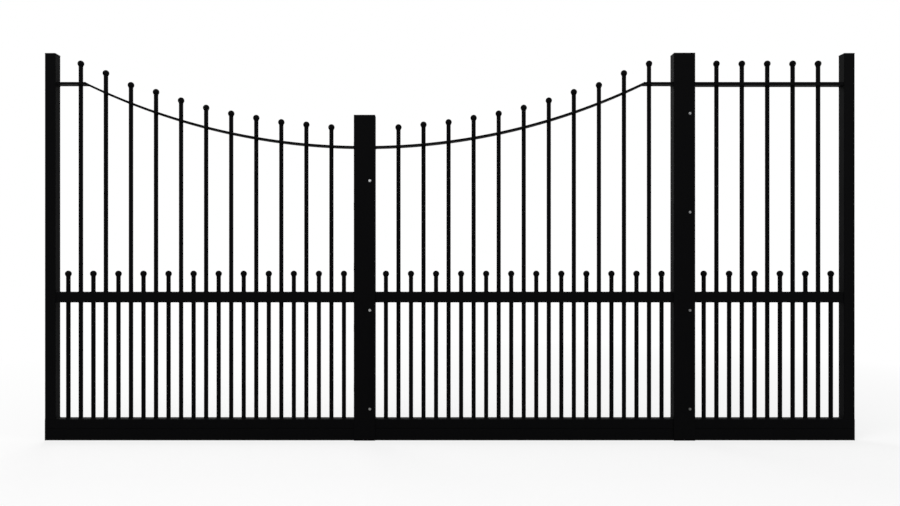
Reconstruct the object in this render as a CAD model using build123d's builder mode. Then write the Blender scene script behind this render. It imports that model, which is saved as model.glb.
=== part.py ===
from build123d import *
from math import acos, cos, pi, radians, sin, sqrt
import os

# A sliding gate leaf: three railing sections, bolted side by side on one base beam.
# Sizes are in millimetres. X runs along the leaf, Y from front to back and Z up.
# The origin is at mid-length and mid-depth, level with the beam's underside.

# Driving sizes of the whole leaf
leaf_height = 2000.0
section_length = 1650.0
tail_length = 880.0

# Square tube stiles, two side by side at each joint, lower at the first joint
stile_size = 55.0
stile_wall = 3.0
tube_corner = 3.0
low_stile_drop = 320.0
cap_thickness = 4.0
cap_edge = 1.5
cap_plug_depth = 12.0
cap_plug_clearance = 0.3

# Base beam: an open channel for roller carriages, under a closed bottom rail
channel_height = 60.0
channel_wall = 3.5
channel_corner = 5.0
channel_slot = 22.0
bottom_rail_height = 50.0
bottom_rail_wall = 3.0
beam_cap_thickness = 4.0

# Cover plates on the front of the joints
joint_plate_thickness = 5.0
joint_plate_edge = 1.0

# Middle rail, a tube that every bar goes through
mid_rail_height = 54.0
mid_rail_depth = 50.0
mid_rail_wall = 2.5
mid_rail_underside = 712.0

# Top rails, flat bars that the long bars go through
top_rail_drop = 149.0
top_rail_depth = 50.0
top_rail_thickness = 12.0
tail_rail_thickness = 16.0
straight_rail_length = 150.0
arch_thickness = 10.0
arch_drop = 330.5

# Round bars, short and long by turns, starting and ending with a short one.
# They have few sides, because there are many of them.
bar_diameter = 22.0
bar_sides = 8
bar_hole_clearance = 0.25
section_long_bar_count = 11
tail_long_bar_count = 5

# How far the balls stand above the rail that the bar goes through. On the arch each bar
# has its own length, counted from the straight rail towards the first joint.
short_bar_rise = 110.5
straight_bar_rise = 116.5
arch_bar_rises = [113.0, 105.5, 117.5, 115.5, 114.0, 114.5, 117.0, 114.5, 116.5, 112.0]

# Ball on each bar, in bands of flat facets from its seat to its flat crown
ball_diameter = 33.0
ball_bands = 3
ball_crown_angle = 67.5

# Places along the leaf
leaf_length = 2 * section_length + tail_length
left_end = -leaf_length / 2
joint_1 = left_end + section_length
joint_2 = joint_1 + section_length
right_end = joint_2 + tail_length

# Levels
beam_height = channel_height + bottom_rail_height
mid_rail_top = mid_rail_underside + mid_rail_height
top_rail_level = leaf_height - top_rail_drop
low_stile_top = leaf_height - low_stile_drop

# The arch is one hanging circle over two sections, lowest on the line of joint 1
arch_half_chord = section_length - stile_size - straight_rail_length
arch_radius = (arch_half_chord**2 + arch_drop**2) / (2 * arch_drop)
arch_centre_z = top_rail_level - arch_drop + arch_radius
left_kink = joint_1 - arch_half_chord
right_kink = joint_1 + arch_half_chord

# A hole clears the bar at its flats as well as at its corners
hole_radius = (bar_diameter / 2 + bar_hole_clearance) / cos(pi / bar_sides)

# A ball sits on its bar where it is as wide as the bar
ball_radius = ball_diameter / 2
ball_seat_angle = -acos(bar_diameter / ball_diameter)
ball_seat_depth = sqrt(ball_radius**2 - (bar_diameter / 2) ** 2)

os.makedirs("parts", exist_ok=True)


def save(piece, name):
    """Label a finished piece and write it as the node of that name."""
    piece.part.label = name
    export_step(piece.part, f"parts/{name}.step")


# Where the bars stand


def bar_places(bay_left, bay_right, long_bars):
    """Centres of the short and of the long bars, with equal gaps across one bay."""
    count = 2 * long_bars + 1
    gap = (bay_right - bay_left - count * bar_diameter) / (count + 1)
    first = bay_left + gap + bar_diameter / 2
    centres = [first + i * (gap + bar_diameter) for i in range(count)]
    return centres[0::2], centres[1::2]


def arch_height(x, radius):
    """Height of the circle of this radius about the arch's centre, under the place x."""
    return arch_centre_z - sqrt(radius**2 - (x - joint_1) ** 2)


def long_bar_tops(centres):
    """Levels of the ball tops, which follow the rail that each long bar goes through."""
    over_arch = [x for x in centres if left_kink < x < right_kink]
    inwards = sorted(over_arch, key=lambda x: -abs(x - joint_1))
    tops = {x: top_rail_level + straight_bar_rise for x in centres}
    for x, rise in zip(inwards, arch_bar_rises):
        tops[x] = arch_height(x, arch_radius) + rise
    return [tops[x] for x in centres]


def bar_holes(centres, level):
    """One hole for each bar, drawn on the level from which they are cut upwards."""
    with BuildSketch(Plane.XY.offset(level)) as holes:
        with Locations([(x, 0) for x in centres]):
            RegularPolygon(hole_radius, bar_sides)
    return holes.sketch


# Base beam


def make_roller_channel():
    """Rolled C section, open below between two lips, in which the carriages run."""
    inner_depth = stile_size - 2 * channel_wall
    inner_height = channel_height - 2 * channel_wall
    inner_corner = channel_corner - channel_wall
    with BuildPart() as roller_channel:
        with BuildSketch(Plane.YZ.offset(left_end + beam_cap_thickness)):
            with Locations((0, channel_height / 2)):
                RectangleRounded(stile_size, channel_height, channel_corner)
                RectangleRounded(inner_depth, inner_height, inner_corner, mode=Mode.SUBTRACT)
            with Locations((0, channel_wall / 2)):
                Rectangle(channel_slot, channel_wall, mode=Mode.SUBTRACT)
        extrude(amount=leaf_length - 2 * beam_cap_thickness)
    save(roller_channel, "roller_channel")


def make_bottom_rail():
    """Closed tube on the channel's back, on which the stiles and the bars stand."""
    with BuildPart() as bottom_rail:
        with BuildSketch(Plane.YZ.offset(left_end + beam_cap_thickness)):
            with Locations((0, channel_height + bottom_rail_height / 2)):
                RectangleRounded(stile_size, bottom_rail_height, tube_corner)
                Rectangle(
                    stile_size - 2 * bottom_rail_wall,
                    bottom_rail_height - 2 * bottom_rail_wall,
                    mode=Mode.SUBTRACT,
                )
        extrude(amount=leaf_length - 2 * beam_cap_thickness)
    save(bottom_rail, "bottom_rail")


def make_beam_cap(name, inner_face, outward):
    """Plate that closes one end of the channel and of the bottom rail."""
    with BuildPart() as beam_cap:
        with BuildSketch(Plane.YZ.offset(inner_face)):
            with Locations((0, beam_height / 2)):
                Rectangle(stile_size, beam_height)
        extrude(amount=outward * beam_cap_thickness)
        chamfer(beam_cap.edges().filter_by(Axis.X), cap_edge)
    save(beam_cap, name)


# Stiles, their caps and the joint plates


def make_stile(name, left_face, top):
    """Square tube that stands on the base beam, up to the underside of its cap."""
    with BuildPart() as stile:
        with BuildSketch(Plane.XY.offset(beam_height)):
            with Locations((left_face + stile_size / 2, 0)):
                RectangleRounded(stile_size, stile_size, tube_corner)
                Rectangle(stile_size - 2 * stile_wall, stile_size - 2 * stile_wall, mode=Mode.SUBTRACT)
        extrude(amount=top - cap_thickness - beam_height)
    save(stile, name)


def make_stile_cap(name, left_face, top):
    """Flat cap with eased edges, and a plug that goes down inside the tube."""
    middle = left_face + stile_size / 2
    plug_size = stile_size - 2 * stile_wall - 2 * cap_plug_clearance
    with BuildPart() as stile_cap:
        with BuildSketch(Plane.XY.offset(top - cap_thickness)):
            with Locations((middle, 0)):
                Rectangle(stile_size, stile_size)
        extrude(amount=cap_thickness)
        chamfer(stile_cap.faces().sort_by(Axis.Z)[-1].edges(), cap_edge)
        with BuildSketch(Plane.XY.offset(top - cap_thickness)):
            with Locations((middle, 0)):
                Rectangle(plug_size, plug_size)
        extrude(amount=-cap_plug_depth)
        chamfer(stile_cap.faces().sort_by(Axis.Z)[0].edges(), cap_edge)
    save(stile_cap, name)


def make_joint_plate(name, joint, top):
    """Plate across the fronts of a joint's two tubes, from their top to the beam's foot."""
    with BuildPart() as joint_plate:
        with BuildSketch(Plane.XZ.offset(stile_size / 2)):
            with Locations((joint, top / 2)):
                Rectangle(2 * stile_size, top)
        extrude(amount=joint_plate_thickness)
        chamfer(joint_plate.faces().sort_by(Axis.Y)[0].edges(), joint_plate_edge)
    save(joint_plate, name)


# Rails


def make_mid_rail(name, start, end, centres):
    """Tube between two stiles, cut through both walls for every bar."""
    with BuildPart() as mid_rail:
        with BuildSketch(Plane.YZ.offset(start)):
            with Locations((0, mid_rail_underside + mid_rail_height / 2)):
                RectangleRounded(mid_rail_depth, mid_rail_height, tube_corner)
                Rectangle(
                    mid_rail_depth - 2 * mid_rail_wall,
                    mid_rail_height - 2 * mid_rail_wall,
                    mode=Mode.SUBTRACT,
                )
        extrude(amount=end - start)
        extrude(bar_holes(centres, mid_rail_underside), amount=mid_rail_height, mode=Mode.SUBTRACT)
    save(mid_rail, name)


def make_straight_rail(name, start, end, thickness, centres):
    """Flat bar laid level under the balls, cut through for the long bars."""
    underside = top_rail_level - thickness
    with BuildPart() as straight_rail:
        with BuildSketch(Plane.XY.offset(underside)):
            with Locations(((start + end) / 2, 0)):
                Rectangle(end - start, top_rail_depth)
        extrude(amount=thickness)
        extrude(bar_holes(centres, underside), amount=thickness, mode=Mode.SUBTRACT)
    save(straight_rail, name)


def make_arch_rail(name, start, end, centres):
    """Flat bar bent to the arch, with upright ends, cut through for the long bars."""
    lower_radius = arch_radius + arch_thickness
    upper = [(x, arch_height(x, arch_radius)) for x in (start, (start + end) / 2, end)]
    lower = [(x, arch_height(x, lower_radius)) for x in (start, (start + end) / 2, end)]
    with BuildPart() as arch_rail:
        with BuildSketch(Plane.XZ.offset(-top_rail_depth / 2)):
            with BuildLine():
                ThreePointArc(*upper)
                ThreePointArc(*lower)
                Line(upper[0], lower[0])
                Line(upper[2], lower[2])
            make_face()
        extrude(amount=top_rail_depth)
        extrude(bar_holes(centres, mid_rail_top), amount=leaf_height, mode=Mode.SUBTRACT)
    save(arch_rail, name)


# Bars and balls


def make_bars(name, centres, tops):
    """Upright bars, from the base beam up to the seats of their balls."""
    with BuildPart() as bars:
        for x, top in zip(centres, tops):
            with BuildSketch(Plane.XY.offset(beam_height)):
                with Locations((x, 0)):
                    RegularPolygon(bar_diameter / 2, bar_sides)
            extrude(amount=top - ball_radius - ball_seat_depth - beam_height)
    save(bars, name)


def ring_of_corners(angle):
    """Corners of the ball at one angle above its middle."""
    radius = ball_radius * cos(angle)
    turns = [2 * pi * i / bar_sides for i in range(bar_sides)]
    return [(radius * cos(turn), radius * sin(turn), ball_radius * sin(angle)) for turn in turns]


def make_ball():
    """One ball about its own centre, closed by flat facets between rings of corners."""
    step = (radians(ball_crown_angle) - ball_seat_angle) / ball_bands
    rings = [ring_of_corners(ball_seat_angle + i * step) for i in range(ball_bands + 1)]
    facets = [Face(Wire.make_polygon(rings[0])), Face(Wire.make_polygon(rings[-1]))]
    for low, high in zip(rings, rings[1:]):
        for i in range(bar_sides):
            facets.append(Face(Wire.make_polygon([low[i - 1], low[i], high[i], high[i - 1]])))
    return Solid(Shell(facets))


def make_balls(name, centres, tops):
    """A ball on the top of each bar of one row."""
    with BuildPart() as balls:
        with Locations([(x, 0, top - ball_radius) for x, top in zip(centres, tops)]):
            add(ball)
    save(balls, name)


# The base beam

make_roller_channel()
make_bottom_rail()
make_beam_cap("beam_cap_left", left_end + beam_cap_thickness, -1)
make_beam_cap("beam_cap_right", right_end - beam_cap_thickness, 1)

# Two stiles to each section, with their caps: left face and top

stiles = {
    "left_section_outer": (left_end, leaf_height),
    "left_section_inner": (joint_1 - stile_size, low_stile_top),
    "middle_section_left": (joint_1, low_stile_top),
    "middle_section_right": (joint_2 - stile_size, leaf_height),
    "tail_section_inner": (joint_2, leaf_height),
    "tail_section_outer": (right_end - stile_size, leaf_height),
}
for place, (left_face, top) in stiles.items():
    make_stile(f"stile_{place}", left_face, top)
    make_stile_cap(f"cap_{place}", left_face, top)
make_joint_plate("joint_plate_1", joint_1, low_stile_top)
make_joint_plate("joint_plate_2", joint_2, leaf_height)

# Each section's middle rail, bars and balls, between the inner faces of its stiles

ball = make_ball()
bays = {
    "left": (left_end + stile_size, joint_1 - stile_size, section_long_bar_count),
    "middle": (joint_1 + stile_size, joint_2 - stile_size, section_long_bar_count),
    "tail": (joint_2 + stile_size, right_end - stile_size, tail_long_bar_count),
}
all_long_centres = []
for section, (bay_left, bay_right, long_bars) in bays.items():
    short_centres, long_centres = bar_places(bay_left, bay_right, long_bars)
    short_tops = [mid_rail_top + short_bar_rise] * len(short_centres)
    long_tops = long_bar_tops(long_centres)
    make_mid_rail(f"mid_rail_{section}", bay_left, bay_right, short_centres + long_centres)
    make_bars(f"short_bars_{section}", short_centres, short_tops)
    make_bars(f"long_bars_{section}", long_centres, long_tops)
    make_balls(f"short_bar_balls_{section}", short_centres, short_tops)
    make_balls(f"long_bar_balls_{section}", long_centres, long_tops)
    all_long_centres += long_centres

# Top rails, level beside the outer stiles and over the tail, hanging between

straight_rails = {
    "top_rail_left": (left_end + stile_size, left_kink, top_rail_thickness),
    "top_rail_middle": (right_kink, joint_2 - stile_size, top_rail_thickness),
    "top_rail_tail": (joint_2 + stile_size, right_end - stile_size, tail_rail_thickness),
}
for name, (start, end, thickness) in straight_rails.items():
    inside = [x for x in all_long_centres if start < x < end]
    make_straight_rail(name, start, end, thickness, inside)

arch_rails = {
    "arch_rail_left": (left_kink, joint_1 - stile_size),
    "arch_rail_middle": (joint_1 + stile_size, right_kink),
}
for name, (start, end) in arch_rails.items():
    inside = [x for x in all_long_centres if start < x < end]
    make_arch_rail(name, start, end, inside)
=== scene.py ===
# %% [markdown]
# A sliding gate leaf in black powder coat
#
# The real thing is three welded railing sections, bolted side by side on one base beam.
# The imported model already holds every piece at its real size, so this script only adds
# looks: finer round bars and balls, weld beads, bolts, and a finish on every surface.
# Everything is in metres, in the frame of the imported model.

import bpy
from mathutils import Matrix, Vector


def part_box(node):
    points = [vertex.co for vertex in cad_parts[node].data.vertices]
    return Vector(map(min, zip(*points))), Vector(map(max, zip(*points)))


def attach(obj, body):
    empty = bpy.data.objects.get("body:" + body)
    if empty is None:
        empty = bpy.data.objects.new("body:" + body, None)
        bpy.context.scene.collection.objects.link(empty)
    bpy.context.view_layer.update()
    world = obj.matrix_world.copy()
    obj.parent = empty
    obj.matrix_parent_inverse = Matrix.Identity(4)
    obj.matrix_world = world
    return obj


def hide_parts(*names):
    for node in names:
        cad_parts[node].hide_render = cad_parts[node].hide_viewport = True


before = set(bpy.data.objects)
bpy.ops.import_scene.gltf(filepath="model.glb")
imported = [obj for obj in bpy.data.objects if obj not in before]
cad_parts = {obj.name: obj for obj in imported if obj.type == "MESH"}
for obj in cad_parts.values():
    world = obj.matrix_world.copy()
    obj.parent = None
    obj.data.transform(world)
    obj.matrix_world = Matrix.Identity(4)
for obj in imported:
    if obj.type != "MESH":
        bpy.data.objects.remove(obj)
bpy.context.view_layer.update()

# %% Import what the cells below use
from math import cos, pi, sin, sqrt

import bmesh
import bpy
from mathutils import Vector

scene = bpy.context.scene
scene.view_settings.view_transform = "Standard"

# %% [markdown]
# The camera
#
# The photograph was taken level and square on, so its uprights stay parallel. A camera
# that is turned towards the leaf would make them converge. This one is level, and a small
# shift moves the frame instead, as a view camera does. The place and the lens come from
# the inner sides of the stiles: how much of them shows tells how near the camera stood.

# %% Set up the camera
PHOTO_WIDTH_PX = 900
PHOTO_HEIGHT_PX = 506
AXIS_X_PX = 425
AXIS_Y_PX = 260
FOCAL_LENGTH_PX = 770
SENSOR_WIDTH_MM = 36
FRONT_METRES_PER_PX = 0.00516
LEAF_MIDDLE_X_PX = 449.8
LEAF_FOOT_Y_PX = 440.5

front_of_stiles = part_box("stile_left_section_outer")[0].y
camera_data = bpy.data.cameras.new("level_camera")
camera_data.sensor_width = SENSOR_WIDTH_MM
camera_data.lens = FOCAL_LENGTH_PX / PHOTO_WIDTH_PX * camera_data.sensor_width
camera_data.shift_x = (PHOTO_WIDTH_PX / 2 - AXIS_X_PX) / PHOTO_WIDTH_PX
camera_data.shift_y = (AXIS_Y_PX - PHOTO_HEIGHT_PX / 2) / PHOTO_WIDTH_PX
camera = bpy.data.objects.new("level_camera", camera_data)
camera.location = (
    (AXIS_X_PX - LEAF_MIDDLE_X_PX) * FRONT_METRES_PER_PX,
    front_of_stiles - FOCAL_LENGTH_PX * FRONT_METRES_PER_PX,
    (LEAF_FOOT_Y_PX - AXIS_Y_PX) * FRONT_METRES_PER_PX,
)
camera.rotation_euler = (pi / 2, 0, 0)
scene.collection.objects.link(camera)
scene.camera = camera
print("camera at", [round(value, 3) for value in camera.location])
print("lens", round(camera_data.lens, 2), "mm")

# %% [markdown]
# Helpers for node trees
#
# Materials, the world and the geometry trees are all made of nodes. Two small functions
# keep their cells short: one adds a node and fills its sockets, the other does a sum.


# %% Define the node helpers
def add_node(tree, kind, inputs=None, **settings):
    """Add a node, set it up, then link or set the sockets named in inputs."""
    made = tree.nodes.new(kind)
    for name, value in settings.items():
        setattr(made, name, value)
    for name, value in (inputs or {}).items():
        if isinstance(value, bpy.types.NodeSocket):
            tree.links.new(value, made.inputs[name])
        else:
            made.inputs[name].default_value = value
    return made


def calculate(tree, operation, *values):
    """Add a Math node and return its result."""
    node = add_node(tree, "ShaderNodeMath", dict(enumerate(values)), operation=operation)
    return node.outputs[0]


# %% [markdown]
# Light, floor and background
#
# A black gate on a white ground is easily lit too brightly. Here the lamps and the world
# stay at a plain level, at which a colour renders about as it is written. The white comes
# from the world's own colour for the rays that see it, in a mirror or through glass too.
# The floor is pale and lit like anything else, so the leaf's shadow stays on it.


# %% Make the world
def seen_not_lighting(tree):
    """1 for the rays that see or mirror the background, and 0 for those that light things."""
    rays = add_node(tree, "ShaderNodeLightPath").outputs
    mirrored = calculate(tree, "MAXIMUM", rays["Is Glossy Ray"], rays["Is Transmission Ray"])
    return calculate(tree, "MAXIMUM", rays["Is Camera Ray"], mirrored)


SKY_LEVEL = 0.45
WHITE = (1, 1, 1, 1)

world = bpy.data.worlds.new("white_studio")
world.use_nodes = True
tree = world.node_tree
tree.nodes.clear()
lighting = add_node(tree, "ShaderNodeBackground", {"Color": WHITE, "Strength": SKY_LEVEL})
shown = add_node(tree, "ShaderNodeBackground", {"Color": WHITE, "Strength": 1})
parts = {0: seen_not_lighting(tree), 1: lighting.outputs[0], 2: shown.outputs[0]}
mixed = add_node(tree, "ShaderNodeMixShader", parts)
add_node(tree, "ShaderNodeOutputWorld", {"Surface": mixed.outputs[0]})
scene.world = world
print("world lights at", SKY_LEVEL)

# %% Lay the floor
FLOOR_REACH = 60
FLOOR_DROP = 0.0005
FLOOR_COLOUR = (0.92, 0.92, 0.92, 1)
NEAR_FLOOR = 2.2
FAR_FLOOR = 5.0
NEAR_WHITENING = 0.7

floor_mesh = bpy.data.meshes.new("floor")
directions = [(-1, -1), (1, -1), (1, 1), (-1, 1)]
corners = [(x * FLOOR_REACH, y * FLOOR_REACH, -FLOOR_DROP) for x, y in directions]
floor_mesh.from_pydata(corners, [], [(0, 1, 2, 3)])
floor = bpy.data.objects.new("floor", floor_mesh)
scene.collection.objects.link(floor)

floor_paint = bpy.data.materials.new("pale_floor")
floor_paint.use_nodes = True
tree = floor_paint.node_tree
tree.nodes.clear()
matt = add_node(tree, "ShaderNodeBsdfDiffuse", {"Color": FLOOR_COLOUR})
white = add_node(tree, "ShaderNodeEmission", {"Color": WHITE, "Strength": 1})
place = add_node(tree, "ShaderNodeTexCoord").outputs["Object"]
away = add_node(tree, "ShaderNodeVectorMath", {0: place}, operation="LENGTH")
whitening = add_node(
    tree,
    "ShaderNodeMapRange",
    {
        "Value": away.outputs["Value"],
        "From Min": NEAR_FLOOR,
        "From Max": FAR_FLOOR,
        "To Min": NEAR_WHITENING,
        "To Max": 1,
    },
)
share = calculate(tree, "MULTIPLY", seen_not_lighting(tree), whitening.outputs[0])
mixed = add_node(tree, "ShaderNodeMixShader", {0: share, 1: matt.outputs[0], 2: white.outputs[0]})
add_node(tree, "ShaderNodeOutputMaterial", {"Surface": mixed.outputs[0]})
floor_mesh.materials.append(floor_paint)
print("floor reaches", FLOOR_REACH, "m")


# %% Hang the lamps
def hang_lamp(name, place, aim, size, watts):
    """A square soft box that points from its place to its aim."""
    lamp_data = bpy.data.lights.new(name, "AREA")
    lamp_data.size = size
    lamp_data.energy = watts
    lamp = bpy.data.objects.new(name, lamp_data)
    lamp.location = place
    lamp.rotation_euler = (Vector(aim) - Vector(place)).to_track_quat("-Z", "Y").to_euler()
    scene.collection.objects.link(lamp)


MIDDLE_OF_LEAF = (0, 0, 1)
hang_lamp("soft_box_above", (-1.5, -3.5, 5.5), MIDDLE_OF_LEAF, 3.5, 190)
hang_lamp("soft_box_right", (5.5, -3.0, 3.5), MIDDLE_OF_LEAF, 2.5, 70)
hang_lamp("soft_box_behind", (-2.5, 4.5, 4.5), MIDDLE_OF_LEAF, 3.0, 140)

# %% [markdown]
# Effects that the finishes share
#
# Powder coat is dust that is baked to a skin. It is never quite flat: it has a fine
# ripple, called orange peel, and a slower waviness. Its edges get a painted highlight: a
# paler colour over the edges, broken up in patches, that stands in for the light a rounded
# edge catches. Each effect is a shader group with named inputs, built once and placed in a
# material with its own values. A group gives only masks, values and normals. The shader
# stays in the material.


# %% Define how a shader group is built
def new_group(name, inputs, outputs):
    """A shader group with these named float inputs, and outputs of the named kinds."""
    group = bpy.data.node_groups.new(name, "ShaderNodeTree")
    for socket_name, value in inputs.items():
        socket = group.interface.new_socket(
            socket_name, in_out="INPUT", socket_type="NodeSocketFloat"
        )
        socket.default_value = value
    for socket_name, kind in outputs.items():
        group.interface.new_socket(socket_name, in_out="OUTPUT", socket_type=kind)
    return group, group.nodes.new("NodeGroupInput"), group.nodes.new("NodeGroupOutput")


def patches_of_size(tree, place, size, detail):
    """Noise whose patches have this size in metres."""
    scale = calculate(tree, "DIVIDE", 1, size)
    inputs = {"Vector": place, "Scale": scale, "Detail": detail}
    return add_node(tree, "ShaderNodeTexNoise", inputs).outputs[0]


# %% Build the orange peel
peel, given, result = new_group(
    "orange_peel",
    {"Cell Size": 0.0025, "Wave Size": 0.12, "Depth": 0.00002, "Wave Depth": 0.0002},
    {"Height": "NodeSocketFloat", "Gloss": "NodeSocketFloat"},
)
place = add_node(peel, "ShaderNodeTexCoord").outputs["Object"]
cells = patches_of_size(peel, place, given.outputs["Cell Size"], 2)
waves = patches_of_size(peel, place, given.outputs["Wave Size"], 2)
fine = calculate(peel, "MULTIPLY", cells, given.outputs["Depth"])
slow = calculate(peel, "MULTIPLY", waves, given.outputs["Wave Depth"])
peel.links.new(calculate(peel, "ADD", fine, slow), result.inputs["Height"])
peel.links.new(waves, result.inputs["Gloss"])
print("made", peel.name)

# %% Build the painted edge highlight
# The rounded normal agrees with the true one on a flat face and leaves it over an edge.
# That marks the edges that get the painted highlight.
FLAT_AGREEMENT = 0.995
EDGE_AGREEMENT = 0.8

edges, given, result = new_group(
    "painted_edge_highlight",
    {"Edge Width": 0.0012, "Break Up": 0.02},
    {"Mask": "NodeSocketFloat"},
)
rounded = add_node(edges, "ShaderNodeBevel", {"Radius": given.outputs["Edge Width"]}, samples=4)
flat = add_node(edges, "ShaderNodeNewGeometry").outputs["Normal"]
agreement = add_node(
    edges, "ShaderNodeVectorMath", {0: rounded.outputs[0], 1: flat}, operation="DOT_PRODUCT"
)
turned = add_node(
    edges,
    "ShaderNodeMapRange",
    {
        "Value": agreement.outputs["Value"],
        "From Min": FLAT_AGREEMENT,
        "From Max": EDGE_AGREEMENT,
        "To Min": 0,
        "To Max": 1,
    },
)
place = add_node(edges, "ShaderNodeTexCoord").outputs["Object"]
patches = patches_of_size(edges, place, given.outputs["Break Up"], 3)
patchy_edge_highlight = calculate(edges, "MULTIPLY", turned.outputs[0], patches)
edges.links.new(patchy_edge_highlight, result.inputs["Mask"])
print("made", edges.name)

# %% [markdown]
# The finishes
#
# The coat is a deep matt black. Its colour is nearly nothing, so what the eye reads is the
# weak shine of the skin. A dark grey with full shine would look like graphite, so the
# colour is close to black and the shine is kept low on the shader's own socket.


# %% Define the black finishes
def new_finish(name):
    """A material with an empty tree, and its Principled shader joined to the output."""
    finish = bpy.data.materials.new(name)
    finish.use_nodes = True
    tree = finish.node_tree
    tree.nodes.clear()
    shader = add_node(tree, "ShaderNodeBsdfPrincipled")
    add_node(tree, "ShaderNodeOutputMaterial", {"Surface": shader.outputs[0]})
    return finish, tree, shader


def use_group(tree, group, values):
    """Place a shader group in a material with its own values."""
    placed = tree.nodes.new("ShaderNodeGroup")
    placed.node_tree = group
    for name, value in values.items():
        placed.inputs[name].default_value = value
    return placed


def black_finish(name, deep, edge_highlight_colour, roughness, shine, peel_values):
    """A black skin: a deep colour, a paler painted highlight on its edges, and its relief."""
    finish, tree, shader = new_finish(name)
    relief = use_group(tree, peel, peel_values)
    # Painted highlight: the paler colour is mixed in where the edge mask is.
    edge_highlight_mask = use_group(tree, edges, {})
    colour = add_node(
        tree,
        "ShaderNodeMix",
        {"Factor": edge_highlight_mask.outputs["Mask"], "A": deep, "B": edge_highlight_colour},
        data_type="RGBA",
    )
    low, high = roughness
    spread = add_node(
        tree,
        "ShaderNodeMapRange",
        {"Value": relief.outputs["Gloss"], "To Min": low, "To Max": high},
    )
    bump = add_node(
        tree,
        "ShaderNodeBump",
        {"Height": relief.outputs["Height"], "Strength": 1, "Distance": 1},
    )
    tree.links.new(colour.outputs["Result"], shader.inputs["Base Color"])
    tree.links.new(spread.outputs[0], shader.inputs["Roughness"])
    tree.links.new(bump.outputs[0], shader.inputs["Normal"])
    shader.inputs["Specular IOR Level"].default_value = shine
    return finish


# In each finish the second colour is the painted edge highlight.
black_coat = black_finish(
    "black_powder_coat",
    (0.0014, 0.0014, 0.0016, 1),
    (0.006, 0.006, 0.0065, 1),
    (0.56, 0.70),
    0.025,
    {},
)
black_plastic = black_finish(
    "black_moulded_plastic",
    (0.0040, 0.0040, 0.0040, 1),
    (0.008, 0.008, 0.008, 1),
    (0.44, 0.54),
    0.10,
    {"Cell Size": 0.0006, "Depth": 0.000008, "Wave Depth": 0.00005},
)
print("made", black_coat.name, "and", black_plastic.name)

# %% Give the frame its finishes
# The caps on the tubes and on the beam's ends are moulded plastic; all else is coated.
for name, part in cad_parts.items():
    is_cap = name.startswith(("cap_", "beam_cap"))
    part.data.materials.clear()
    part.data.materials.append(black_plastic if is_cap else black_coat)
print("dressed", len(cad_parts), "nodes")

# %% [markdown]
# Reading the frame
#
# A node holds a whole row of bars. Its mesh is loose triangles, so a copy of it is merged
# first and then split into its separate solids. Each solid's box says where one bar stands
# and how high it goes, so nothing here is measured twice.


# %% Find the separate solids of a node
MERGE_DISTANCE = 0.00001


def solids_of(node):
    """The lowest and highest corner of each separate solid of a node, from left to right."""
    copy = bmesh.new()
    copy.from_mesh(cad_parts[node].data)
    bmesh.ops.remove_doubles(copy, verts=copy.verts, dist=MERGE_DISTANCE)
    waiting = set(copy.verts)
    boxes = []
    while waiting:
        front = [waiting.pop()]
        solid = []
        while front:
            corner = front.pop()
            solid.append(corner.co.copy())
            for edge in corner.link_edges:
                other = edge.other_vert(corner)
                if other in waiting:
                    waiting.remove(other)
                    front.append(other)
        low = Vector(min(place[axis] for place in solid) for axis in range(3))
        high = Vector(max(place[axis] for place in solid) for axis in range(3))
        boxes.append((low, high))
    copy.free()
    return sorted(boxes, key=lambda box: box[0].x)


SECTIONS = ["left", "middle", "tail"]
ROWS = ["short", "long"]
bars = {}
for section in SECTIONS:
    for row in ROWS:
        bars[row, section] = solids_of(f"{row}_bars_{section}")
print("bars:", {f"{row} {section}": len(found) for (row, section), found in bars.items()})

# %% [markdown]
# How the geometry trees are used
#
# A tree grows a piece from a seed: a mesh that has only points, or only lines. Each tree
# gets its sizes through named inputs, and ends by realizing its copies and setting their
# finish. The grown result is taken out as a plain mesh, and the seed with its modifier is
# thrown away, so nothing live is left when the piece is handed to the frame.


# %% Define how trees are built and grown
SHARP_TURN = 0.7  # radians
SOCKET_KINDS = {int: "NodeSocketInt", float: "NodeSocketFloat", bool: "NodeSocketBool"}


def new_tree(name, inputs):
    """A geometry tree with these named inputs, a finish, and geometry in and out."""
    tree = bpy.data.node_groups.new(name, "GeometryNodeTree")
    tree.interface.new_socket("Geometry", in_out="INPUT", socket_type="NodeSocketGeometry")
    for socket_name, value in inputs.items():
        kind = SOCKET_KINDS[type(value)]
        socket = tree.interface.new_socket(socket_name, in_out="INPUT", socket_type=kind)
        socket.default_value = value
    tree.interface.new_socket("Finish", in_out="INPUT", socket_type="NodeSocketMaterial")
    tree.interface.new_socket("Geometry", in_out="OUTPUT", socket_type="NodeSocketGeometry")
    return tree, tree.nodes.new("NodeGroupInput").outputs


def smooth_between_sharp_edges(tree, geometry):
    """Shade smoothly, except across the edges that turn by more than SHARP_TURN."""
    smooth = add_node(tree, "GeometryNodeSetShadeSmooth", {"Geometry": geometry})
    turn = add_node(tree, "GeometryNodeInputMeshEdgeAngle").outputs["Unsigned Angle"]
    creased = add_node(
        tree,
        "GeometryNodeSetShadeSmooth",
        {
            "Geometry": smooth.outputs[0],
            "Selection": calculate(tree, "GREATER_THAN", turn, SHARP_TURN),
            "Shade Smooth": False,
        },
        domain="EDGE",
    )
    return creased.outputs[0]


def end_tree(tree, given, geometry):
    """Realize what has grown, set its finish and hand it out."""
    real = add_node(tree, "GeometryNodeRealizeInstances", {0: geometry})
    dressed = add_node(
        tree, "GeometryNodeSetMaterial", {0: real.outputs[0], "Material": given["Finish"]}
    )
    add_node(tree, "NodeGroupOutput", {0: dressed.outputs[0]})
    print("tree", tree.name, "has", len(tree.nodes), "nodes")


def seed_points(places, lines=(), **attributes):
    """A mesh of points, with lines between them where given, and named numbers on them."""
    seed = bpy.data.meshes.new("seed")
    seed.from_pydata(places, lines, [])
    for name, values in attributes.items():
        seed.attributes.new(name, "FLOAT", "POINT").data.foreach_set("value", values)
    return seed


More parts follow.
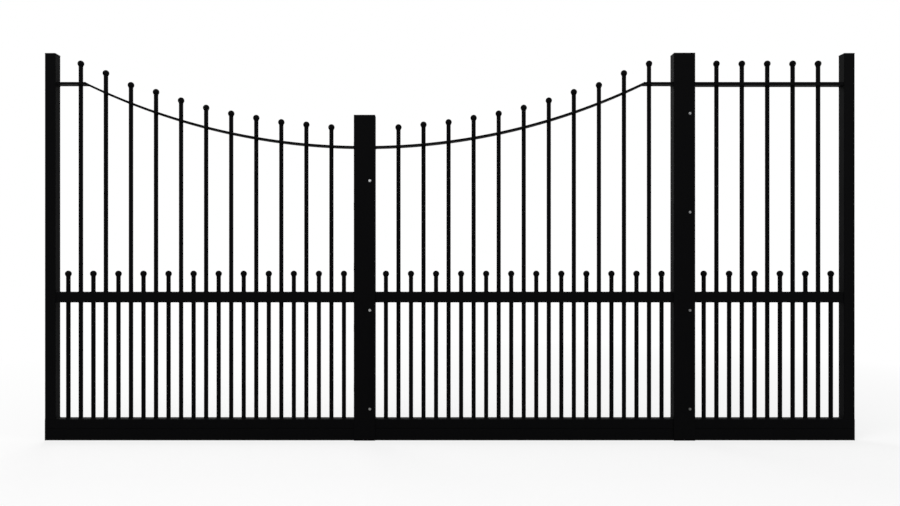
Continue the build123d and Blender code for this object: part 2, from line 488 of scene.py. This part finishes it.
def hand_over(name, mesh, stands_for):
    """Link a finished mesh as a piece of the leaf."""
    piece = bpy.data.objects.new(name, mesh)
    scene.collection.objects.link(piece)
    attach(piece, "root")
    if stands_for:
        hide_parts(*stands_for)
    print(name, len(mesh.polygons), "faces")
    return piece


def grow(name, seed, tree, finish, slot, stands_for=(), **sizes):
    """Run a tree on a seed, and keep the result as a plain mesh that rides on the leaf."""
    planted = bpy.data.objects.new(name + "_seed", seed)
    scene.collection.objects.link(planted)
    modifier = planted.modifiers.new("grow", "NODES")
    modifier.node_group = tree
    values = {key.replace("_", " ").title(): value for key, value in sizes.items()}
    values["Finish"] = finish
    for item in tree.interface.items_tree:
        if item.in_out == "INPUT" and item.name in values:
            modifier[item.identifier] = values[item.name]
    planted.modifiers.new("even_faces", "WEIGHTED_NORMAL").keep_sharp = True
    view = bpy.context.evaluated_depsgraph_get()
    grown = bpy.data.meshes.new_from_object(planted.evaluated_get(view), depsgraph=view)
    grown.name = name
    grown.materials.clear()
    grown.materials.append(finish)
    grown.polygons.foreach_set("material_index", [0] * len(grown.polygons))
    bpy.data.objects.remove(planted)
    return hand_over(name, grown, stands_for)


# %% [markdown]
# The bars
#
# The real bars are round rod. The model holds them as prisms of eight sides, because there
# are so many. Here each gets enough sides to look round. One rod of unit length is made
# once, copied to every point, and stretched by the length that the point carries.

# %% Build the bar tree
BAR_SIDES = 32

bar_tree, given = new_tree("round_bars", {"Bar Diameter": 0.02, "Sides": BAR_SIDES})
radius = calculate(bar_tree, "DIVIDE", given["Bar Diameter"], 2)
rod = add_node(
    bar_tree,
    "GeometryNodeMeshCylinder",
    {"Vertices": given["Sides"], "Radius": radius, "Depth": 1},
)
smooth = add_node(
    bar_tree,
    "GeometryNodeSetShadeSmooth",
    {"Geometry": rod.outputs["Mesh"], "Selection": rod.outputs["Side"]},
)
standing = add_node(
    bar_tree,
    "GeometryNodeTransform",
    {"Geometry": smooth.outputs[0], "Translation": (0, 0, 0.5)},
)
length = add_node(bar_tree, "GeometryNodeInputNamedAttribute", {"Name": "length"})
stretch = add_node(bar_tree, "ShaderNodeCombineXYZ", {"X": 1, "Y": 1, "Z": length.outputs[0]})
copies = add_node(
    bar_tree,
    "GeometryNodeInstanceOnPoints",
    {"Points": given["Geometry"], "Instance": standing.outputs[0], "Scale": stretch.outputs[0]},
)
end_tree(bar_tree, given, copies.outputs[0])

# %% Grow the bars
first_low, first_high = bars["short", "left"][0]
bar_diameter = first_high.x - first_low.x


def axis_point(box, height):
    """The point of a bar's axis at a height."""
    low, high = box
    return ((low.x + high.x) / 2, (low.y + high.y) / 2, height)


for (row, section), boxes in bars.items():
    feet = [axis_point(box, box[0].z) for box in boxes]
    lengths = [high.z - low.z for low, high in boxes]
    grow(
        f"round_{row}_bars_{section}",
        seed_points(feet, length=lengths),
        bar_tree,
        black_coat,
        "black_steel",
        [f"{row}_bars_{section}"],
        bar_diameter=bar_diameter,
    )
print("bars are", round(bar_diameter * 1000, 1), "mm across")

# %% [markdown]
# The balls
#
# Every bar ends in a small steel ball, slipped over or welded to its top. A ball rests
# where it is as wide as the bar, so its centre stands a little above the bar's end.

# %% Build and grow the balls
BALL_DIAMETER = 0.033
BALL_SEGMENTS = 32
BALL_RINGS = 18

ball_tree, given = new_tree(
    "ball_tops", {"Ball Diameter": BALL_DIAMETER, "Segments": BALL_SEGMENTS, "Rings": BALL_RINGS}
)
ball = add_node(
    ball_tree,
    "GeometryNodeMeshUVSphere",
    {
        "Segments": given["Segments"],
        "Rings": given["Rings"],
        "Radius": calculate(ball_tree, "DIVIDE", given["Ball Diameter"], 2),
    },
)
smooth = add_node(ball_tree, "GeometryNodeSetShadeSmooth", {"Geometry": ball.outputs["Mesh"]})
copies = add_node(
    ball_tree,
    "GeometryNodeInstanceOnPoints",
    {"Points": given["Geometry"], "Instance": smooth.outputs[0]},
)
end_tree(ball_tree, given, copies.outputs[0])

seat_depth = sqrt((BALL_DIAMETER / 2) ** 2 - (bar_diameter / 2) ** 2)
for (row, section), boxes in bars.items():
    centres = [axis_point(box, box[1].z + seat_depth) for box in boxes]
    grow(
        f"round_{row}_bar_balls_{section}",
        seed_points(centres),
        ball_tree,
        black_coat,
        "black_steel",
        [f"{row}_bar_balls_{section}"],
    )

# %% [markdown]
# The flat bars along the top
#
# The top rails are flat bar, and two of them are bent to one long hanging circle. A sweep
# along a bent curve would leave slanted ends. Here a straight bar is swept first, and each
# of its corners is then lowered onto the circle, straight down. That keeps its ends
# upright, as they are cut on the real one, where they meet the tubes. The drawn edge of
# flat bar is never sharp, so its section has small rounded corners.

# %% Build the flat bar tree
CORNER_POINTS = 3

flat_tree, given = new_tree(
    "flat_bars",
    {
        "Start": 0.0,
        "End": 1.0,
        "Depth": 0.05,
        "Thickness": 0.01,
        "Edge Radius": 0.0015,
        "Stations": 2,
        "Level": 1.0,
        "Hanging": False,
        "Arch Radius": 3.0,
        "Arch Middle": 0.0,
        "Arch Centre": 4.0,
    },
)
start = add_node(flat_tree, "ShaderNodeCombineXYZ", {"X": given["Start"]})
end = add_node(flat_tree, "ShaderNodeCombineXYZ", {"X": given["End"]})
line = add_node(
    flat_tree,
    "GeometryNodeCurvePrimitiveLine",
    {"Start": start.outputs[0], "End": end.outputs[0]},
)
path = add_node(
    flat_tree,
    "GeometryNodeResampleCurve",
    {"Curve": line.outputs[0], "Count": given["Stations"]},
)
outline = add_node(
    flat_tree,
    "GeometryNodeCurvePrimitiveQuadrilateral",
    {"Width": given["Depth"], "Height": given["Thickness"]},
)
section = add_node(
    flat_tree,
    "GeometryNodeFilletCurve",
    {"Curve": outline.outputs[0], "Count": CORNER_POINTS, "Radius": given["Edge Radius"]},
    mode="POLY",
)
swept = add_node(
    flat_tree,
    "GeometryNodeCurveToMesh",
    {"Curve": path.outputs[0], "Profile Curve": section.outputs[0], "Fill Caps": True},
)
place = add_node(flat_tree, "GeometryNodeInputPosition")
apart = add_node(flat_tree, "ShaderNodeSeparateXYZ", {0: place.outputs[0]})
half_thickness = calculate(flat_tree, "DIVIDE", given["Thickness"], 2)
below_top = calculate(flat_tree, "SUBTRACT", half_thickness, apart.outputs["Z"])
radius = calculate(flat_tree, "ADD", given["Arch Radius"], below_top)
along = calculate(flat_tree, "SUBTRACT", apart.outputs["X"], given["Arch Middle"])
radius_squared = calculate(flat_tree, "MULTIPLY", radius, radius)
along_squared = calculate(flat_tree, "MULTIPLY", along, along)
drop_squared = calculate(flat_tree, "SUBTRACT", radius_squared, along_squared)
drop = calculate(flat_tree, "SQRT", drop_squared)
on_arch = calculate(flat_tree, "SUBTRACT", given["Arch Centre"], drop)
on_level = calculate(flat_tree, "SUBTRACT", given["Level"], below_top)
height = add_node(
    flat_tree,
    "GeometryNodeSwitch",
    {"Switch": given["Hanging"], "False": on_level, "True": on_arch},
    input_type="FLOAT",
)
lowered = add_node(
    flat_tree,
    "ShaderNodeCombineXYZ",
    {"X": apart.outputs["X"], "Y": apart.outputs["Y"], "Z": height.outputs[0]},
)
bent = add_node(
    flat_tree,
    "GeometryNodeSetPosition",
    {"Geometry": swept.outputs[0], "Position": lowered.outputs[0]},
)
end_tree(flat_tree, given, smooth_between_sharp_edges(flat_tree, bent.outputs[0]))

# %% Work out the arch from the frame
# The circle's lowest level is on the line of the first joint, midway between its two tubes.
joint_x = (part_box("stile_left_section_inner")[1].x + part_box("stile_middle_section_left")[0].x) / 2
left_arch_low, left_arch_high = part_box("arch_rail_left")
half_chord = joint_x - left_arch_low.x
stile_inner_offset = joint_x - left_arch_high.x


def circle_through(inner_x, inner_z, outer_x, outer_z):
    """Radius and centre height of the circle about x = 0 through two points of its underside."""
    rise = outer_z - inner_z
    centre = (outer_x**2 - inner_x**2 + outer_z**2 - inner_z**2) / (2 * rise)
    return sqrt(inner_x**2 + (centre - inner_z) ** 2), centre


def same_place(one, other):
    """Whether two places along the leaf are one and the same."""
    return abs(one - other) < MERGE_DISTANCE * 10


def level_at(node, x):
    """Top and underside of a rail's solid at a place where it ends."""
    corners = [corner.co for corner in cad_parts[node].data.vertices]
    levels = [corner.z for corner in corners if same_place(corner.x, x)]
    return max(levels), min(levels)


inner_top, inner_under = level_at("arch_rail_left", left_arch_high.x)
outer_top, outer_under = level_at("arch_rail_left", left_arch_low.x)
arch_radius, arch_centre = circle_through(stile_inner_offset, inner_top, half_chord, outer_top)
under_radius, _ = circle_through(stile_inner_offset, inner_under, half_chord, outer_under)
arch_thickness = under_radius - arch_radius
print("arch radius", round(arch_radius, 3), "thickness", round(arch_thickness, 4))

# %% Grow the flat bars
ARCH_STATIONS = 97


def grow_flat_bar(node, **bend):
    """A flat bar with rounded edges in the place of a rail of the frame."""
    low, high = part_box(node)
    return grow(
        f"rounded_{node}",
        seed_points([(0, 0, 0)]),
        flat_tree,
        black_coat,
        "black_steel",
        [node],
        start=low.x,
        end=high.x,
        depth=high.y - low.y,
        level=high.z,
        **bend,
    )


for node in ["top_rail_left", "top_rail_middle", "top_rail_tail"]:
    low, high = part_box(node)
    grow_flat_bar(node, thickness=high.z - low.z)
for node in ["arch_rail_left", "arch_rail_middle"]:
    grow_flat_bar(
        node,
        thickness=arch_thickness,
        stations=ARCH_STATIONS,
        hanging=True,
        arch_radius=arch_radius,
        arch_middle=joint_x,
        arch_centre=arch_centre,
    )

# %% [markdown]
# The weld beads
#
# Each bar is welded where it goes through a rail and where it stands on the beam, and each
# rail is welded to its tubes. A bead is rippled, because the weld pool is moved on step by
# step. The seed holds only the lines that the beads follow. One tree turns every line into
# a curve with two stations a ripple, and sweeps a small section along it that is wider at
# every second station. There are hundreds of beads, so each has only a few dozen faces.

# %% Build the weld tree
DRIFT_SCALE = 45
BEAD_SIDES = 4

weld_tree, given = new_tree(
    "weld_beads",
    {
        "Bead Radius": 0.003,
        "Ripple Pitch": 0.0058,
        "Ripple Depth": 0.16,
        "Unevenness": 0.35,
        "Random Seed": 1,
    },
)
paths = add_node(weld_tree, "GeometryNodeMeshToCurve", {"Mesh": given["Geometry"]})
half_pitch = calculate(weld_tree, "DIVIDE", given["Ripple Pitch"], 2)
steps = add_node(
    weld_tree,
    "GeometryNodeResampleCurve",
    {"Curve": paths.outputs[0], "Length": half_pitch},
    mode="LENGTH",
)
station = add_node(weld_tree, "GeometryNodeSplineParameter").outputs["Index"]
every_second = calculate(weld_tree, "MODULO", station, 2)
swell = calculate(weld_tree, "MULTIPLY", every_second, given["Ripple Depth"])
drift = add_node(
    weld_tree,
    "ShaderNodeTexNoise",
    {"W": given["Random Seed"], "Scale": DRIFT_SCALE, "Detail": 1},
    noise_dimensions="4D",
)
wander = calculate(weld_tree, "SUBTRACT", drift.outputs[0], 0.5)
uneven = calculate(weld_tree, "MULTIPLY", wander, given["Unevenness"])
relative = calculate(weld_tree, "ADD", 1, calculate(weld_tree, "ADD", swell, uneven))
bead_size = calculate(weld_tree, "MULTIPLY", given["Bead Radius"], relative)
section = add_node(
    weld_tree,
    "GeometryNodeCurvePrimitiveCircle",
    {"Resolution": BEAD_SIDES, "Radius": 1},
    mode="RADIUS",
)
beads = add_node(
    weld_tree,
    "GeometryNodeCurveToMesh",
    {
        "Curve": steps.outputs[0],
        "Profile Curve": section.outputs[0],
        "Scale": bead_size,
        "Fill Caps": True,
    },
)
smooth = add_node(weld_tree, "GeometryNodeSetShadeSmooth", {"Geometry": beads.outputs[0]})
end_tree(weld_tree, given, smooth.outputs[0])

# %% Draw the lines that the beads follow
RING_CORNERS = 24
bar_radius = bar_diameter / 2


def ring_round_bar(x, level_of):
    """Corners round a bar, each at the level of the surface that the bar goes through."""
    turns = [2 * pi * i / RING_CORNERS for i in range(RING_CORNERS)]
    places = [(x + bar_radius * cos(turn), bar_radius * sin(turn)) for turn in turns]
    return [(px, py, level_of(px)) for px, py in places]


def ring_round_section(x, box):
    """Corners round a rail's section, where the rail's end meets a tube."""
    low, high = box
    return [(x, low.y, low.z), (x, high.y, low.z), (x, high.y, high.z), (x, low.y, high.z)]


def seed_lines(loops, runs=()):
    """A mesh of closed loops and of open runs, to be grown into beads."""
    places = []
    lines = []
    for line, closed in [(loop, True) for loop in loops] + [(run, False) for run in runs]:
        first = len(places)
        places += line
        lines += [(first + i, first + i + 1) for i in range(len(line) - 1)]
        if closed:
            lines.append((first + len(line) - 1, first))
    return seed_points(places, lines)


def grow_welds(name, loops, runs=(), **sizes):
    """Weld beads along these lines, in the coat of the leaf."""
    return grow(name, seed_lines(loops, runs), weld_tree, black_coat, "black_steel", **sizes)


# %% Weld the bars to the rails and the beam
beam_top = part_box("bottom_rail")[1].z
mid_low, mid_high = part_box("mid_rail_left")
straight_rail_boxes = [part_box(f"top_rail_{section}") for section in SECTIONS]


def top_rail_levels(x):
    """How the top rail's upper and lower surface run at the place of a long bar."""
    for low, high in straight_rail_boxes:
        if low.x < x < high.x:
            return (lambda px, level=high.z: level), (lambda px, level=low.z: level)
    return on_arch_circle(arch_radius), on_arch_circle(arch_radius + arch_thickness)


def on_arch_circle(radius):
    """Height of a circle about the arch's centre, as a function of the place."""
    return lambda px: arch_centre - sqrt(radius**2 - (px - joint_x) ** 2)


on_beam = []
on_mid_rail = []
on_top_rail = []
under_balls = []
for (row, section), boxes in bars.items():
    for box in boxes:
        x = axis_point(box, 0)[0]
        on_beam.append(ring_round_bar(x, lambda px: beam_top))
        on_mid_rail.append(ring_round_bar(x, lambda px: mid_high.z))
        on_mid_rail.append(ring_round_bar(x, lambda px: mid_low.z))
        under_balls.append(ring_round_bar(x, lambda px, level=box[1].z: level))
        if row == "long":
            for surface in top_rail_levels(x):
                on_top_rail.append(ring_round_bar(x, surface))
grow_welds("welds_bars_on_beam", on_beam, random_seed=1)
grow_welds("welds_bars_in_mid_rail", on_mid_rail, random_seed=2)
grow_welds("welds_bars_in_top_rails", on_top_rail, random_seed=3, bead_radius=0.0025)
grow_welds("welds_under_balls", under_balls, random_seed=4, bead_radius=0.0016)

# %% Weld the rails to the tubes, and the tubes to the beam
# Where a level rail meets a hanging one, away from the tubes, the weld is ground nearly
# flush. The arch is mirrored about the first joint.
rail_ends = []
ground_ends = []
hanging_ends = [left_arch_low.x, 2 * joint_x - left_arch_low.x]
for box in [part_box(f"mid_rail_{section}") for section in SECTIONS] + straight_rail_boxes:
    for x in (box[0].x, box[1].x):
        is_ground = any(same_place(x, end) for end in hanging_ends)
        (ground_ends if is_ground else rail_ends).append(ring_round_section(x, box))
arch_ends = {
    "arch_rail_left": left_arch_high.x,
    "arch_rail_middle": 2 * joint_x - left_arch_high.x,
}
for node, x in arch_ends.items():
    low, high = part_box(node)
    section_box = (Vector((x, low.y, inner_under)), Vector((x, high.y, inner_top)))
    rail_ends.append(ring_round_section(x, section_box))
grow_welds("welds_rail_ends", rail_ends, random_seed=5, bead_radius=0.0026)
grow_welds("welds_ground_rail_ends", ground_ends, random_seed=7, bead_radius=0.0009)

FOOT_WELD_INSET = 0.004
stile_names = [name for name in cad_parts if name.startswith("stile_")]


def other_sides(name):
    """Where the sides of all the other tubes are, along the leaf."""
    return [corner.x for other in stile_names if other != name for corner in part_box(other)]


foot_runs = []
for name in stile_names:
    low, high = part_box(name)
    for x in (low.x, high.x):
        inside_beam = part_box("bottom_rail")[0].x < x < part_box("bottom_rail")[1].x
        beside_other = any(same_place(x, side) for side in other_sides(name))
        if inside_beam and not beside_other:
            front, back = low.y + FOOT_WELD_INSET, high.y - FOOT_WELD_INSET
            foot_runs.append([(x, front, low.z), (x, back, low.z)])
grow_welds("welds_tube_feet", [], foot_runs, random_seed=6, bead_radius=0.0035)

# %% Stitch the beam together, and the plates to the tubes
# A long seam is welded in short stitches, because one long bead would bend the beam.
JOINT_PLATES = ["joint_plate_1", "joint_plate_2"]
STITCH_LENGTH = 0.040
BEAM_STITCH_SPACING = 0.250
PLATE_STITCH_SPACING = 0.300
GROOVE_DEPTH = 0.002
PLATE_GROOVE_DEPTH = 0.001


def stitches(start, end, spacing):
    """Where each stitch of a seam starts, evenly set and clear of both ends."""
    count = int((end - start) // spacing)
    step = (end - start) / count
    return [start + step * (i + 0.5) - STITCH_LENGTH / 2 for i in range(count)]


beam_low, beam_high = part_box("bottom_rail")
plate_boxes = [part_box(name) for name in JOINT_PLATES]
groove_runs = []
for side, y in [("front", beam_low.y + GROOVE_DEPTH), ("back", beam_high.y - GROOVE_DEPTH)]:
    for x in stitches(beam_low.x, beam_high.x, BEAM_STITCH_SPACING):
        behind_plate = any(low.x < x + STITCH_LENGTH and x < high.x for low, high in plate_boxes)
        if side == "back" or not behind_plate:
            groove_runs.append([(x, y, beam_low.z), (x + STITCH_LENGTH, y, beam_low.z)])
plate_runs = []
for low, high in plate_boxes:
    x, y = low.x + PLATE_GROOVE_DEPTH, high.y + PLATE_GROOVE_DEPTH
    for z in stitches(beam_top, high.z, PLATE_STITCH_SPACING):
        plate_runs.append([(x, y, z), (x, y, z + STITCH_LENGTH)])
grow_welds("welds_beam_groove", [], groove_runs, random_seed=8, bead_radius=0.0025)
grow_welds("welds_plate_edges", [], plate_runs, random_seed=9, bead_radius=0.0018)
print(len(groove_runs), "stitches on the beam,", len(plate_runs), "on the plates")

# %% [markdown]
# The bolts
#
# The three sections are bolted side by side through their joint plates. Each bolt is a
# plain hexagon head on a washer, and it goes into a threaded insert in the wall of the
# tube, so nothing shows behind. A real head is a hexagon whose corners are turned off by
# a cone, which leaves a curved edge over each flat. Bevelling a hexagon would not give
# that. So a round rod is made first, and its rings are then moved to where a formula puts
# the hexagon and the cone.

# %% Build the bolt tree
# The rings of the rod stand at levels that no real height comes near, so that each can be
# found by its level until it is moved. The cone slopes at 30 degrees, and the flat face
# that it leaves is a little narrower than the head is across its flats.
LOW_RING, MIDDLE_RING, TOP_RING = 2, 5, 8
RING_REACH = 0.1
HEAD_SIDES = 48
CHAMFER_SLOPE = 0.577
FACE_SHARE = 0.95

bolt_tree, given = new_tree(
    "hexagon_bolts",
    {
        "Across Flats": 0.010,
        "Head Height": 0.004,
        "Washer Diameter": 0.014,
        "Washer Thickness": 0.0012,
        "Washer Edge": 0.0003,
        "Random Seed": 5,
    },
)


def ring_move(tree, geometry, level, radius, height):
    """Move one ring of a unit rod, found by its level, to a new radius and height."""
    place = add_node(tree, "GeometryNodeInputPosition").outputs[0]
    apart = add_node(tree, "ShaderNodeSeparateXYZ", {0: place}).outputs
    distance = calculate(tree, "ABSOLUTE", calculate(tree, "SUBTRACT", apart["Z"], level))
    moved = add_node(
        tree,
        "ShaderNodeCombineXYZ",
        {
            "X": calculate(tree, "MULTIPLY", apart["X"], radius),
            "Y": calculate(tree, "MULTIPLY", apart["Y"], radius),
            "Z": height,
        },
    )
    return add_node(
        tree,
        "GeometryNodeSetPosition",
        {
            "Geometry": geometry,
            "Selection": calculate(tree, "LESS_THAN", distance, RING_REACH),
            "Position": moved.outputs[0],
        },
    ).outputs[0]


def unit_rod(tree):
    """A rod of radius 1 with a ring of corners at each of the three levels."""
    depth = TOP_RING - LOW_RING
    sizes = {"Vertices": HEAD_SIDES, "Side Segments": 2, "Radius": 1, "Depth": depth}
    rod = add_node(tree, "GeometryNodeMeshCylinder", sizes).outputs["Mesh"]
    raised = {"Geometry": rod, "Translation": (0, 0, MIDDLE_RING)}
    return add_node(tree, "GeometryNodeTransform", raised).outputs[0]


# %% Shape the head and the washer
apothem = calculate(bolt_tree, "DIVIDE", given["Across Flats"], 2)
place = add_node(bolt_tree, "GeometryNodeInputPosition").outputs[0]
apart = add_node(bolt_tree, "ShaderNodeSeparateXYZ", {0: place}).outputs
angle = calculate(bolt_tree, "ARCTAN2", apart["Y"], apart["X"])
within_flat = calculate(bolt_tree, "MODULO", calculate(bolt_tree, "ADD", angle, 2 * pi), pi / 3)
off_middle = calculate(bolt_tree, "SUBTRACT", within_flat, pi / 6)
hexagon = calculate(bolt_tree, "DIVIDE", apothem, calculate(bolt_tree, "COSINE", off_middle))
face_radius = calculate(bolt_tree, "MULTIPLY", apothem, FACE_SHARE)
beyond_face = calculate(bolt_tree, "SUBTRACT", hexagon, face_radius)
fall = calculate(bolt_tree, "MULTIPLY", beyond_face, CHAMFER_SLOPE)
head_top = calculate(bolt_tree, "ADD", given["Washer Thickness"], given["Head Height"])
shoulder = calculate(bolt_tree, "SUBTRACT", head_top, fall)
head = ring_move(bolt_tree, unit_rod(bolt_tree), TOP_RING, face_radius, head_top)
head = ring_move(bolt_tree, head, MIDDLE_RING, hexagon, shoulder)
head = ring_move(bolt_tree, head, LOW_RING, hexagon, given["Washer Thickness"])

washer_radius = calculate(bolt_tree, "DIVIDE", given["Washer Diameter"], 2)
inner_edge = calculate(bolt_tree, "SUBTRACT", washer_radius, given["Washer Edge"])
below_edge = calculate(bolt_tree, "SUBTRACT", given["Washer Thickness"], given["Washer Edge"])
washer = unit_rod(bolt_tree)
washer = ring_move(bolt_tree, washer, TOP_RING, inner_edge, given["Washer Thickness"])
washer = ring_move(bolt_tree, washer, MIDDLE_RING, washer_radius, below_edge)
washer = ring_move(bolt_tree, washer, LOW_RING, washer_radius, 0)

# %% Turn the bolts to the front and copy them
both = add_node(bolt_tree, "GeometryNodeJoinGeometry")
bolt_tree.links.new(washer, both.inputs[0])
bolt_tree.links.new(head, both.inputs[0])
twist = add_node(
    bolt_tree,
    "FunctionNodeRandomValue",
    {2: 0.0, 3: pi / 3, "Seed": given["Random Seed"]},
    data_type="FLOAT",
)
turn = add_node(bolt_tree, "ShaderNodeCombineXYZ", {"X": pi / 2, "Y": twist.outputs[1]})
copies = add_node(
    bolt_tree,
    "GeometryNodeInstanceOnPoints",
    {
        "Points": given["Geometry"],
        "Instance": smooth_between_sharp_edges(bolt_tree, both.outputs[0]),
        "Rotation": turn.outputs[0],
    },
)
end_tree(bolt_tree, given, copies.outputs[0])

# %% [markdown]
# The zinc of the bolts
#
# Bolts for outdoor use are zinc plated: a dull, slightly mottled grey metal. Their colour
# has painted light in it. It is paler on the upper bolts and darker towards the ground, a
# painted shade for light that falls from above. The bolts of the first joint are painted
# brighter than those of the second, whose darkening offsets the lamp on the right that
# lights them more. The gloss also falls towards the ground. So the colour follows the
# height of the surface and its place along the leaf, and a fine grain breaks up the gloss.

# %% Make the zinc
# Painted light by height: the zinc is paler higher up and darker near the ground.
PAINTED_SHADE_HEIGHT = 0.1
PAINTED_LIGHT_HEIGHT = 1.7
ZINC_IN_PAINTED_SHADE = (0.115, 0.115, 0.110, 1)
ZINC_IN_PAINTED_LIGHT = (0.28, 0.285, 0.29, 1)
DULL_ROUGHNESS = 0.62
BRIGHT_ROUGHNESS = 0.38
FIRST_JOINT_PAINTED_LIGHT = 1.75
SECOND_JOINT_PAINTED_LIGHT = 0.95
MOTTLE_SCALE = 420
MOTTLE_SPREAD = 0.25
RIGHT_TUBE_SHARE = 0.75


def bolt_line(plate):
    """Where a joint's bolts stand: on the middle line of the tube right of the joint."""
    low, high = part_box(plate)
    return low.x + (high.x - low.x) * RIGHT_TUBE_SHARE


zinc_with_painted_light, tree, shader = new_finish("zinc_with_painted_light")
place = add_node(tree, "ShaderNodeTexCoord").outputs["Object"]
apart = add_node(tree, "ShaderNodeSeparateXYZ", {0: place}).outputs
# Painted light: this share makes the colour paler with height and also sets the gloss.
painted_light_by_height = add_node(
    tree,
    "ShaderNodeMapRange",
    {"Value": apart["Z"], "From Min": PAINTED_SHADE_HEIGHT, "From Max": PAINTED_LIGHT_HEIGHT},
)
# Painted light along the leaf: the first joint's bolts brighter, the second's darker.
painted_light_along_leaf = add_node(
    tree,
    "ShaderNodeMapRange",
    {
        "Value": apart["X"],
        "From Min": bolt_line("joint_plate_1"),
        "From Max": bolt_line("joint_plate_2"),
        "To Min": FIRST_JOINT_PAINTED_LIGHT,
        "To Max": SECOND_JOINT_PAINTED_LIGHT,
    },
)
mottle = add_node(
    tree, "ShaderNodeTexNoise", {"Vector": place, "Scale": MOTTLE_SCALE, "Detail": 3}
)
spread = add_node(
    tree,
    "ShaderNodeMapRange",
    {"Value": mottle.outputs[0], "To Min": -MOTTLE_SPREAD, "To Max": MOTTLE_SPREAD},
)
share = calculate(tree, "ADD", painted_light_by_height.outputs[0], spread.outputs[0])
share.node.use_clamp = True
colour = add_node(
    tree,
    "ShaderNodeMix",
    {"Factor": share, "A": ZINC_IN_PAINTED_SHADE, "B": ZINC_IN_PAINTED_LIGHT},
    data_type="RGBA",
)
gloss = add_node(
    tree,
    "ShaderNodeMapRange",
    {"Value": share, "To Min": DULL_ROUGHNESS, "To Max": BRIGHT_ROUGHNESS},
)
scratches = add_node(tree, "ShaderNodeBump", {"Height": mottle.outputs[0], "Distance": 0.0001})
# The colour is scaled by the painted light along the leaf.
zinc_colour_with_painted_light = add_node(
    tree,
    "ShaderNodeVectorMath",
    {0: colour.outputs["Result"], "Scale": painted_light_along_leaf.outputs[0]},
    operation="SCALE",
)
tree.links.new(zinc_colour_with_painted_light.outputs[0], shader.inputs["Base Color"])
tree.links.new(gloss.outputs[0], shader.inputs["Roughness"])
tree.links.new(scratches.outputs[0], shader.inputs["Normal"])
shader.inputs["Metallic"].default_value = 1
print("made", zinc_with_painted_light.name)

# %% Put the bolts in their places
BOLT_HEIGHTS = {
    "joint_plate_1": (0.163, 0.672, 1.340),
    "joint_plate_2": (0.163, 0.672, 1.178, 1.687),
}

bolt_places = []
for plate, heights in BOLT_HEIGHTS.items():
    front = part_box(plate)[0].y
    bolt_places += [(bolt_line(plate), front, height) for height in heights]
grow("hexagon_bolts", seed_points(bolt_places), bolt_tree, zinc_with_painted_light, "zinc_steel")
print(len(bolt_places), "bolts")
